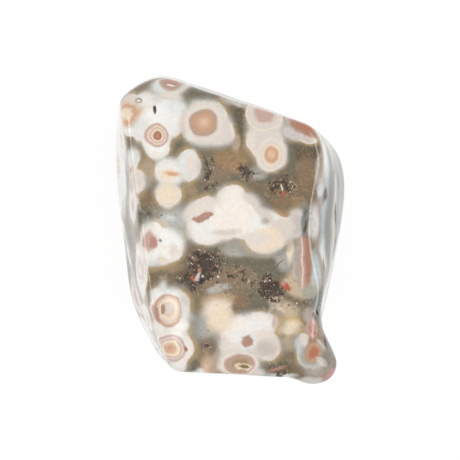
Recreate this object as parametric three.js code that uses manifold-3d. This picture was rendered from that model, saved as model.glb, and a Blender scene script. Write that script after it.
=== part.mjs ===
// Ocean jasper tumbled stone: one polished pebble, lying on its back with the patterned face up.
// Millimetres, +Z up. +Y runs along the length, from the foot end to the pointed end, and +X runs
// across the width, from the leaning side to the scooped side.
//
// The stone's skin is where the function skinDistance is zero. Flat faces worn by tumbling meet in
// rounded ridges, a hollow is scooped out of one side, a foot grows out of one corner, and small
// open pits are left where the crystal pockets reach the surface.

import * as THREE from 'three';
import { mergeVertices } from 'three/addons/utils/BufferGeometryUtils.js';
import Module from 'manifold-3d';

// Driving dimensions

const WIDTH = 30;
const LENGTH = 40;
const THICKNESS = 21;
const RIDGE_SHARPNESS = 2.4; // per millimetre: ridges are rounded to about 1 mm
const REST_DEPTH = 0.4; // how far the back bulges past the flat that it rests on
const REST_SNAP = 0.06; // skin this close to the rest plane is laid on it, so no slivers are cut
const GRID_STEP = 1.12; // spacing of the skin's vertices on the starting block

// Each worn face has the direction that it looks in (turn about Z from +X, and tilt up from level,
// both in degrees) and one point that it passes through.
const FACES = [
  { name: 'front', turn: 90, tilt: 89, through: [0, 0, THICKNESS] },
  { name: 'front left', turn: 180, tilt: 84, through: [-10.8, 0, THICKNESS - 0.15] },
  { name: 'front low', turn: 270, tilt: 85, through: [0, -15.4, THICKNESS - 0.1] },
  { name: 'front right', turn: 10, tilt: 80, through: [10.7, 6.4, THICKNESS - 0.15] },
  { name: 'foot slope', turn: 318, tilt: 72, through: [8, -14.6, THICKNESS - 0.25] },
  { name: 'left', turn: 179, tilt: 1.5, through: [-14.85, 10.3, 7] },
  { name: 'left low', turn: 187.5, tilt: 9.5, through: [-13.75, -2, 7] },
  { name: 'left foot', turn: 205, tilt: 4.5, through: [-10.7, -13.6, 8] },
  { name: 'foot end', turn: 267, tilt: -5, through: [-0.6, -18.45, 17] },
  { name: 'top end', turn: 71.5, tilt: 1.2, through: [2.76, 16.28, 12] },
  { name: 'top corner', turn: 43, tilt: -1, through: [12.7, 11.85, 12] },
  { name: 'top left', turn: 127, tilt: 1, through: [-13.5, 17.75, 12] },
  { name: 'top point', turn: 104, tilt: 3, through: [-9.6, 20, 12] },
  { name: 'top bevel', turn: 108, tilt: 48, through: [-7.8, 17, 20] },
  { name: 'right', turn: 0, tilt: 12, through: [14.95, 3.2, 7] },
  { name: 'right top', turn: 20, tilt: 8, through: [14.4, 8.8, 8] },
  { name: 'right low', turn: -14, tilt: 1, through: [13.6, -4.2, 8] },
  { name: 'back', turn: 90, tilt: -90, through: [0, 0, -REST_DEPTH] },
  { name: 'back near left', turn: 168, tilt: -77, through: [-7, 0, 0.15] },
  { name: 'back near right', turn: 352, tilt: -78, through: [7.5, 0, 0.1] },
  { name: 'back near foot', turn: 268, tilt: -80, through: [0, -9, 0.1] },
  { name: 'back left', turn: 185, tilt: -42, through: [-13.9, 1.2, 4.4] },
  { name: 'back right', turn: 2, tilt: -36, through: [14, 3.2, 4.8] },
  { name: 'back top', turn: 80, tilt: -42, through: [1.4, 15.7, 5.2] },
  { name: 'back foot', turn: 265, tilt: -33, through: [0.7, -17.8, 9] },
  { name: 'back top left', turn: 134, tilt: -46, through: [-10.7, 14, 1.9] },
  { name: 'back low right', turn: 313, tilt: -48, through: [8.8, -11.2, 3.4] },
];

// The hollow in the right side: an ellipsoid of air, its edge eased by the given distance.
const SCOOP = { centre: [16.9, 0.3, 23], radii: [6.2, 11.5, 10.5], ease: 1.1 };

// The foot: two tapered rods with round ends, one out to its tip and one from there down the
// back of the corner, each run into the body over the given distance.
const FOOT_EASE = 2.4;
const FOOT_RODS = [
  { start: [7.9, -10.5, 17.5], end: [11.3, -17.3, 16.7], startRadius: 2.3, endRadius: 2.5 },
  { start: [10.2, -15.8, 15.2], end: [8.2, -13, 8.2], startRadius: 2, endRadius: 1.4 },
];

// Open pits of the crystal pockets, each an ellipsoid of air centred near the skin.
const PIT_EASE = 0.25;
const PITS = [
  { name: 'middle pocket', centre: [-3.5, -4.2, THICKNESS + 0.1], radii: [1.9, 1.1, 0.45] },
  { name: 'red pocket', centre: [5.8, -8, THICKNESS + 0.1], radii: [1.9, 1.2, 0.5] },
  { name: 'left pocket', centre: [-12.9, 3.6, 3.1], radii: [1.1, 1.8, 1] },
  { name: 'top pocket', centre: [6, 13.3, 3.4], radii: [1.9, 1.1, 1] },
  { name: 'back pocket', centre: [11.4, -1.8, 1.6], radii: [1.2, 2.3, 1.2] },
  { name: 'back foot pocket', centre: [-2.4, -12.9, 2], radii: [1.8, 1.3, 1] },
];

// Slow waves that tumbling leaves in the polish: height, then turns of the wave per millimetre.
const WAVES = [
  { height: 0.035, along: [0.55, 0.3, 0], phase: 1, across: [0, 0.42, -0.2], acrossPhase: 0.5 },
  { height: 0.04, along: [0, 0.35, 0.9], phase: 2, across: [0, 0, 0], acrossPhase: Math.PI / 2 },
  { height: 0.12, along: [0.2, 0.28, 0.33], phase: 0.4, across: [0, 0, 0.15], acrossPhase: 3.1 },
];

// Joining distances: each form is a distance to a skin, negative inside it.

const toVector = ([x, y, z]) => new THREE.Vector3(x, y, z);

function easedUnion(a, b, ease) {
  const share = THREE.MathUtils.clamp(0.5 + (0.5 * (b - a)) / ease, 0, 1);
  return THREE.MathUtils.lerp(b, a, share) - ease * share * (1 - share);
}

const easedCut = (body, air, ease) => -easedUnion(-body, air, ease);

function lookDirection(turn, tilt) {
  const polar = THREE.MathUtils.degToRad(90 - tilt);
  const around = THREE.MathUtils.degToRad(turn);
  const flat = Math.sin(polar);
  return new THREE.Vector3(flat * Math.cos(around), flat * Math.sin(around), Math.cos(polar));
}

const facePlanes = FACES.map(({ turn, tilt, through }) =>
  new THREE.Plane().setFromNormalAndCoplanarPoint(lookDirection(turn, tilt), toVector(through)));

function wornBody(point) {
  const reaches = facePlanes.map((plane) => plane.distanceToPoint(point));
  const furthest = Math.max(...reaches);
  const spread = reaches.reduce((sum, r) => sum + Math.exp(RIDGE_SHARPNESS * (r - furthest)), 0);
  return furthest + Math.log(spread) / RIDGE_SHARPNESS;
}

function ellipsoid(point, { centre, radii }) {
  const scaled = point.clone().sub(toVector(centre)).divide(toVector(radii));
  return (scaled.length() - 1) * Math.min(...radii);
}

function taperedRod(point, { start, end, startRadius, endRadius }) {
  const foot = toVector(start);
  const rod = toVector(end).sub(foot);
  const along = THREE.MathUtils.clamp(point.clone().sub(foot).dot(rod) / rod.lengthSq(), 0, 1);
  const radius = THREE.MathUtils.lerp(startRadius, endRadius, along);
  return point.distanceTo(foot.addScaledVector(rod, along)) - radius;
}

function waveHeight(point) {
  const turn = (direction, phase) => Math.sin(toVector(direction).dot(point) + phase);
  const heights = WAVES.map((w) => w.height * turn(w.along, w.phase) * turn(w.across, w.acrossPhase));
  return heights.reduce((sum, height) => sum + height, 0);
}

function skinDistance(point) {
  const scooped = easedCut(wornBody(point), ellipsoid(point, SCOOP), SCOOP.ease);
  const addRod = (body, rod) => easedUnion(body, taperedRod(point, rod), FOOT_EASE);
  const footed = FOOT_RODS.reduce(addRod, scooped);
  const waved = footed + waveHeight(point);
  return PITS.reduce((body, pit) => easedCut(body, ellipsoid(point, pit), PIT_EASE), waved);
}

// Growing the skin: the vertices of a plain block slide along rays from the stone's middle.

const MIDDLE = new THREE.Vector3(0, 0, THICKNESS / 2);
const LONGEST_RAY = LENGTH;
const HALVINGS = 30;

function skinPoint(direction) {
  let inside = 0;
  let outside = LONGEST_RAY;
  for (let i = 0; i < HALVINGS; i += 1) {
    const reach = (inside + outside) / 2;
    const point = MIDDLE.clone().addScaledVector(direction, reach);
    if (skinDistance(point) < 0) inside = reach;
    else outside = reach;
  }
  return MIDDLE.clone().addScaledVector(direction, inside);
}

function tumbledGeometry() {
  const steps = [WIDTH, LENGTH, THICKNESS].map((size) => Math.round(size / GRID_STEP));
  const block = new THREE.BoxGeometry(WIDTH, LENGTH, THICKNESS, ...steps);
  block.deleteAttribute('normal');
  block.deleteAttribute('uv');
  const skin = mergeVertices(block);
  const positions = skin.attributes.position;
  const vertex = new THREE.Vector3();
  for (let i = 0; i < positions.count; i += 1) {
    const onSkin = skinPoint(vertex.fromBufferAttribute(positions, i).normalize());
    const height = Math.abs(onSkin.z) < REST_SNAP ? 0 : onSkin.z;
    positions.setXYZ(i, onSkin.x, onSkin.y, height);
  }
  return skin;
}

// Cutting the flat that the stone rests on.

const wasm = await Module();
wasm.setup();

function toSolid(geometry) {
  const merged = geometry.index ? geometry : mergeVertices(geometry);
  const vertProperties = new Float32Array(merged.attributes.position.array);
  const triVerts = new Uint32Array(merged.index.array);
  return new wasm.Manifold(new wasm.Mesh({ numProp: 3, vertProperties, triVerts }));
}

function toGeometry(solid) {
  const { vertProperties, triVerts } = solid.getMesh();
  const geometry = new THREE.BufferGeometry();
  geometry.setAttribute('position', new THREE.BufferAttribute(vertProperties, 3));
  geometry.setIndex(new THREE.BufferAttribute(triVerts, 1));
  geometry.computeVertexNormals();
  return geometry;
}

function slabBelowRest() {
  const slab = new THREE.BoxGeometry(2 * WIDTH, 2 * LENGTH, THICKNESS);
  slab.deleteAttribute('normal');
  slab.deleteAttribute('uv');
  slab.translate(0, 0, -THICKNESS / 2);
  return mergeVertices(slab);
}

function restingStone() {
  const cut = toSolid(tumbledGeometry()).subtract(toSolid(slabBelowRest()));
  return toGeometry(cut);
}

// The part, centred over the origin.

const polishedJasper = new THREE.MeshStandardMaterial({
  color: 0xb9a896,
  roughness: 0.12,
  metalness: 0,
});

const stone = new THREE.Mesh(restingStone(), polishedJasper);
stone.name = 'stone';

const box = new THREE.Box3().setFromObject(stone);
const centre = box.getCenter(new THREE.Vector3());
stone.position.set(-centre.x, -centre.y, -box.min.z);

const part = new THREE.Group();
part.name = 'ocean_jasper_tumbled_stone';
part.add(stone);

export default part;
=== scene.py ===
"""Looks of the ocean jasper tumbled stone.

The polished skin is the same worn form as the CAD solid, grown on a finer grid. Its pattern is solid:
every orb is a set of shells round a point inside the stone, cut open where the skin crosses them.
"""

from itertools import product
from math import cos, pi, radians, sin

import bpy
import numpy as np
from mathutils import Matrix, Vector


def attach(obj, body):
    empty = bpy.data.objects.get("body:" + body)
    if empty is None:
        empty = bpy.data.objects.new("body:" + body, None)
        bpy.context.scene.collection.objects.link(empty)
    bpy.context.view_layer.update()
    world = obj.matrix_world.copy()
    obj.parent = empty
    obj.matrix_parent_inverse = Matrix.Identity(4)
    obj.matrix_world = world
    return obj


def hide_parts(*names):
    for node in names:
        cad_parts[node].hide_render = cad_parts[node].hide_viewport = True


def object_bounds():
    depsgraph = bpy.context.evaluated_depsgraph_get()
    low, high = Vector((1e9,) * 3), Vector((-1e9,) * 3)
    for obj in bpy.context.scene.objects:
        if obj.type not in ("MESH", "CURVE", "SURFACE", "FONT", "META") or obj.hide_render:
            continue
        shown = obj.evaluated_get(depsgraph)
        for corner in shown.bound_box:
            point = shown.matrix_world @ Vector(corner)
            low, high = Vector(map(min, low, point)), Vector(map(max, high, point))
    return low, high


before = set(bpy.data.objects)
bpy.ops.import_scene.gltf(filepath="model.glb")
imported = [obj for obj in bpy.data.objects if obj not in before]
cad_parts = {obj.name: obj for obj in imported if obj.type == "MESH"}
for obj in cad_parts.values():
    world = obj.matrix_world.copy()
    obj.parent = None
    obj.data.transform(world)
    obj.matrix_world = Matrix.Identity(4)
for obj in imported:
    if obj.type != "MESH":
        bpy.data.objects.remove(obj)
cad_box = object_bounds()

MM = 0.001

# The worn form, in millimetres, in the same values as the CAD source

WIDTH, LENGTH, THICKNESS = 30, 40, 21
RIDGE_SHARPNESS = 2.4
REST_DEPTH = 0.4
PIT_EASE = 0.25
FOOT_EASE = 2.4
GRID_STEP = 0.24
HALVINGS = 20  # how often the reach of a ray is halved to find the skin

# Each face: turn about Z and tilt up from level, in degrees, and a point that it passes through.
FACES = {
    "front": (90, 89, (0, 0, THICKNESS)),
    "front left": (180, 84, (-10.8, 0, THICKNESS - 0.15)),
    "front low": (270, 85, (0, -15.4, THICKNESS - 0.1)),
    "front right": (10, 80, (10.7, 6.4, THICKNESS - 0.15)),
    "foot slope": (318, 72, (8, -14.6, THICKNESS - 0.25)),
    "left": (179, 1.5, (-14.85, 10.3, 7)),
    "left low": (187.5, 9.5, (-13.75, -2, 7)),
    "left foot": (205, 4.5, (-10.7, -13.6, 8)),
    "foot end": (267, -5, (-0.6, -18.45, 17)),
    "top end": (71.5, 1.2, (2.76, 16.28, 12)),
    "top corner": (43, -1, (12.7, 11.85, 12)),
    "top left": (127, 1, (-13.5, 17.75, 12)),
    "top point": (104, 3, (-9.6, 20, 12)),
    "top bevel": (108, 48, (-7.8, 17, 20)),
    "right": (0, 12, (14.95, 3.2, 7)),
    "right top": (20, 8, (14.4, 8.8, 8)),
    "right low": (-14, 1, (13.6, -4.2, 8)),
    "back": (90, -90, (0, 0, -REST_DEPTH)),
    "back near left": (168, -77, (-7, 0, 0.15)),
    "back near right": (352, -78, (7.5, 0, 0.1)),
    "back near foot": (268, -80, (0, -9, 0.1)),
    "back left": (185, -42, (-13.9, 1.2, 4.4)),
    "back right": (2, -36, (14, 3.2, 4.8)),
    "back top": (80, -42, (1.4, 15.7, 5.2)),
    "back foot": (265, -33, (0.7, -17.8, 9)),
    "back top left": (134, -46, (-10.7, 14, 1.9)),
    "back low right": (313, -48, (8.8, -11.2, 3.4)),
}
SCOOP = ((16.9, 0.3, 23), (6.2, 11.5, 10.5))
SCOOP_EASE = 1.1
# Each rod of the foot: start, end and the radius at each.
FOOT_RODS = [
    ((7.9, -10.5, 17.5), (11.3, -17.3, 16.7), 2.3, 2.5),
    ((10.2, -15.8, 15.2), (8.2, -13, 8.2), 2, 1.4),
]
# Each open pit: centre and radii.
PITS = {
    "middle pocket": ((-3.5, -4.2, THICKNESS + 0.1), (1.9, 1.1, 0.45)),
    "red pocket": ((5.8, -8, THICKNESS + 0.1), (1.9, 1.2, 0.5)),
    "left pocket": ((-12.9, 3.6, 3.1), (1.1, 1.8, 1)),
    "top pocket": ((6, 13.3, 3.4), (1.9, 1.1, 1)),
    "back pocket": ((11.4, -1.8, 1.6), (1.2, 2.3, 1.2)),
    "back foot pocket": ((-2.4, -12.9, 2), (1.8, 1.3, 1)),
}
# Each slow wave: height, direction and phase along, direction and phase across.
WAVES = [
    (0.035, (0.55, 0.3, 0), 1, (0, 0.42, -0.2), 0.5),
    (0.04, (0, 0.35, 0.9), 2, (0, 0, 0), pi / 2),
    (0.12, (0.2, 0.28, 0.33), 0.4, (0, 0, 0.15), 3.1),
]


def eased_union(a, b, ease):
    share = np.clip(0.5 + 0.5 * (b - a) / ease, 0, 1)
    return b * (1 - share) + a * share - ease * share * (1 - share)


def eased_cut(body, air, ease):
    return -eased_union(-body, air, ease)


def look_direction(turn, tilt):
    turn, tilt = radians(turn), radians(tilt)
    return np.array((cos(turn) * cos(tilt), sin(turn) * cos(tilt), sin(tilt)))


def worn_body(points):
    reaches = np.stack([(points - through) @ look_direction(turn, tilt)
                        for turn, tilt, through in FACES.values()])
    furthest = reaches.max(0)
    spread = np.exp(RIDGE_SHARPNESS * (reaches - furthest)).sum(0)
    return furthest + np.log(spread) / RIDGE_SHARPNESS


def ellipsoid(points, centre, radii):
    scaled = (points - np.array(centre)) / np.array(radii)
    return (np.linalg.norm(scaled, axis=-1) - 1) * min(radii)


def tapered_rod(points, start, end, start_radius, end_radius):
    rod = np.subtract(end, start)
    along = np.clip((points - start) @ rod / (rod @ rod), 0, 1)
    axis = np.array(start) + along[..., None] * rod
    return np.linalg.norm(points - axis, axis=-1) - start_radius - (end_radius - start_radius) * along


def wave_height(points):
    return sum(height * np.sin(points @ np.array(along) + phase) * np.sin(points @ np.array(across) + shift)
               for height, along, phase, across, shift in WAVES)


def skin_distance(points):
    """Distance to the stone's skin in millimetres, negative inside."""
    body = eased_cut(worn_body(points), ellipsoid(points, *SCOOP), SCOOP_EASE)
    for rod in FOOT_RODS:
        body = eased_union(body, tapered_rod(points, *rod), FOOT_EASE)
    body = body + wave_height(points)
    for centre, radii in PITS.values():
        body = eased_cut(body, ellipsoid(points, centre, radii), PIT_EASE)
    return body


def slide_to_skin(start, directions, longest):
    """The points where rays from inside the stone leave it."""
    inside = np.zeros(len(directions))
    outside = np.full(len(directions), float(longest))
    for _ in range(HALVINGS):
        reach = (inside + outside) / 2
        within = skin_distance(start + directions * reach[:, None]) < 0
        inside = np.where(within, reach, inside)
        outside = np.where(within, outside, reach)
    return start + directions * inside[:, None]


SQUARE = ((0, 0), (1, 0), (1, 1), (0, 1))  # its corners in turn


def block_grid():
    """Vertices and quads of a closed block, its six sides ruled in squares."""
    size = np.array((WIDTH, LENGTH, THICKNESS), float)
    steps = np.round(size / GRID_STEP).astype(int)
    index = {}
    quads = []
    for axis in range(3):
        u, v = (axis + 1) % 3, (axis + 2) % 3
        for end, i, j in product((0, int(steps[axis])), range(steps[u]), range(steps[v])):
            ring = []
            for di, dj in SQUARE:
                corner = [0, 0, 0]
                corner[axis], corner[u], corner[v] = end, i + di, j + dj
                ring.append(index.setdefault(tuple(corner), len(index)))
            quads.append(ring if end else ring[::-1])
    places = np.array(list(index)) / steps * size - size / 2
    return places, quads


def grow_skin():
    places, quads = block_grid()
    directions = places / np.linalg.norm(places, axis=1)[:, None]
    middle = np.array((0, 0, THICKNESS / 2))
    skin = slide_to_skin(middle, directions, LENGTH)
    skin[:, 2] = np.maximum(skin[:, 2], 0)
    return skin, quads


def centre_shift(skin):
    """Moves the form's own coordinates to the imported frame, whose origin is under the box's middle."""
    low, high = np.array(cad_box[0]) / MM, np.array(cad_box[1]) / MM
    middle = (skin.min(0) + skin.max(0)) / 2
    return np.array(((low + high)[0] / 2 - middle[0], (low + high)[1] / 2 - middle[1], 0))


def new_object(name, data):
    made = bpy.data.objects.new(name, data)
    bpy.context.scene.collection.objects.link(made)
    return made


def make_stone():
    skin, quads = grow_skin()
    shift = centre_shift(skin)
    mesh = bpy.data.meshes.new("polished_stone")
    mesh.from_pydata((skin + shift) * MM, [], quads)
    mesh.validate()
    mesh.shade_smooth()
    return new_object("polished_stone", mesh), shift


# Colours, as the photograph shows them under its light

EXPOSURE = 1.215
VEIL = 0.042  # what the gloss adds to every colour
DARKEST = 0.004
SEEN = {
    "snow": (247, 246, 241),
    "chalk": (243, 240, 234),
    "frost": (232, 235, 232),
    "ice": (212, 221, 226),
    "rime": (196, 206, 208),
    "haze": (212, 208, 200),
    "steel": (138, 142, 139),
    "dove": (184, 172, 160),
    "shell": (225, 215, 205),
    "blush": (236, 224, 214),
    "milk": (249, 240, 231),
    "cream": (243, 226, 202),
    "oat": (207, 187, 162),
    "peach": (228, 196, 170),
    "apricot": (222, 172, 134),
    "tan": (210, 168, 138),
    "rust": (186, 128, 104),
    "clay": (176, 136, 114),
    "brick": (168, 104, 82),
    "mauve": (205, 174, 163),
    "fawn": (192, 166, 148),
    "dusk": (188, 148, 133),
    "rose": (196, 150, 138),
    "lilac": (208, 196, 190),
    "pewter": (178, 176, 169),
    "mist": (192, 187, 177),
    "slate": (150, 145, 134),
    "taupe": (147, 129, 108),
    "sand": (176, 150, 118),
    "gold": (166, 138, 104),
    "amber": (214, 184, 136),
    "bronze": (146, 122, 98),
    "olive": (134, 117, 93),
    "moss": (121, 116, 100),
    "umber": (112, 98, 81),
    "earth": (84, 70, 55),
    "night": (72, 62, 50),
    "pitch": (50, 43, 36),
    "ember": (204, 100, 74),
    # the colour of painted glints on crystal faces
    "painted_glint": (236, 228, 214),
    "leaf": (176, 178, 160),
}


def to_linear(channel):
    c = channel / 255
    return c / 12.92 if c <= 0.04045 else ((c + 0.055) / 1.055) ** 2.4


def pigment(name):
    """The stone's own colour for one that is seen in the photograph."""
    return [max((to_linear(c) - VEIL) / EXPOSURE, DARKEST) for c in SEEN[name]] + [1.0]


# A small language for node graphs

SOCKETS = {"VALUE": "NodeSocketFloat", "VECTOR": "NodeSocketVector", "RGBA": "NodeSocketColor"}


class Graph:
    def __init__(self, tree):
        self.tree = tree

    def node(self, kind, inputs=None, **settings):
        made = self.tree.nodes.new(kind)
        for name, value in settings.items():
            setattr(made, name, value)
        for socket, value in (inputs or {}).items():
            self.feed(made.inputs[socket], value)
        return made

    def feed(self, socket, value):
        if isinstance(value, bpy.types.NodeSocket):
            self.tree.links.new(value, socket)
        else:
            socket.default_value = value

    def math(self, operation, a, b=0.0, c=0.0):
        return self.node("ShaderNodeMath", {0: a, 1: b, 2: c}, operation=operation).outputs[0]

    def vector(self, operation, a, b=(0, 0, 0)):
        return self.node("ShaderNodeVectorMath", {0: a, 1: b}, operation=operation).outputs[0]

    def scaled(self, vector, factor):
        made = self.node("ShaderNodeVectorMath", {0: vector}, operation="SCALE")
        self.feed(made.inputs["Scale"], factor)
        return made.outputs[0]

    def length(self, vector):
        return self.node("ShaderNodeVectorMath", {0: vector}, operation="LENGTH").outputs["Value"]

    def dot(self, vector, direction):
        inputs = {0: vector, 1: direction}
        return self.node("ShaderNodeVectorMath", inputs, operation="DOT_PRODUCT").outputs["Value"]

    def scaled_and_moved(self, vector, factors, shift):
        inputs = {0: vector, 1: factors, 2: shift}
        return self.node("ShaderNodeVectorMath", inputs, operation="MULTIPLY_ADD").outputs[0]

    def part(self, vector, axis):
        return self.node("ShaderNodeSeparateXYZ", {0: vector}).outputs[axis]

    def picks(self, colour):
        """Three random numbers from a cell's colour."""
        return self.node("ShaderNodeSeparateColor", {0: colour}).outputs

    def step(self, value, start, end, low=0.0, high=1.0):
        """A smooth change from low at start to high at end."""
        sockets = {"Value": value, "From Min": start, "From Max": end, "To Min": low, "To Max": high}
        settings = {"interpolation_type": "SMOOTHSTEP", "clamp": False}
        return self.node("ShaderNodeMapRange", sockets, **settings).outputs[0]

    def chosen(self, draw, chance):
        """0 where a random number is below the chance, 1 where it is above."""
        return self.step(draw, chance, chance + 0.02)

    def mix(self, below, above, share, blend="MIX"):
        made = self.node("ShaderNodeMix", data_type="RGBA", blend_type=blend)
        self.feed(made.inputs[0], share)
        self.feed(made.inputs[6], below)
        self.feed(made.inputs[7], above)
        return made.outputs[2]

    def noise(self, point, size, detail=2.0, colour=False, roughness=0.5):
        """Noise whose features are about size millimetres across."""
        sockets = {"Vector": point, "Scale": 1 / size, "Detail": detail, "Roughness": roughness}
        made = self.node("ShaderNodeTexNoise", sockets, noise_dimensions="3D")
        return made.outputs["Color" if colour else "Fac"]

    def sway(self, point, size, height, detail=2.0):
        """A vector of noise about zero, seldom longer than height."""
        centred = self.vector("SUBTRACT", self.noise(point, size, detail, colour=True), (0.5, 0.5, 0.5))
        return self.scaled(centred, 4 * height)

    def cells(self, point, size, randomness=1.0):
        sockets = {"Vector": point, "Scale": 1 / size, "Randomness": randomness}
        return self.node("ShaderNodeTexVoronoi", sockets, voronoi_dimensions="3D")

    def ramp(self, value, stops):
        made = self.node("ShaderNodeValToRGB", {0: value})
        elements = made.color_ramp.elements
        while len(elements) < len(stops):
            elements.new(0.5)
        for element, (place, name) in zip(elements, stops):
            element.position = place
            element.color = pigment(name)
        return made.outputs[0]

    def layer(self, name, paint, *values):
        """Runs paint in a node group of its own, on the values given, and returns what it returns."""
        tree = bpy.data.node_groups.new(name, "ShaderNodeTree")
        for k, value in enumerate(values):
            tree.interface.new_socket(f"given {k}", in_out="INPUT", socket_type=SOCKETS[value.type])
        inner = Graph(tree)
        given = inner.node("NodeGroupInput").outputs
        painted = paint(inner, *[given[k] for k in range(len(values))])
        for k, value in enumerate(painted):
            tree.interface.new_socket(f"painted {k}", in_out="OUTPUT", socket_type=SOCKETS[value.type])
        inner.node("NodeGroupOutput", dict(enumerate(painted)))
        made = self.node("ShaderNodeGroup", node_tree=tree)
        for k, value in enumerate(values):
            self.feed(made.inputs[k], value)
        return [made.outputs[k] for k in range(len(painted))]
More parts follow.
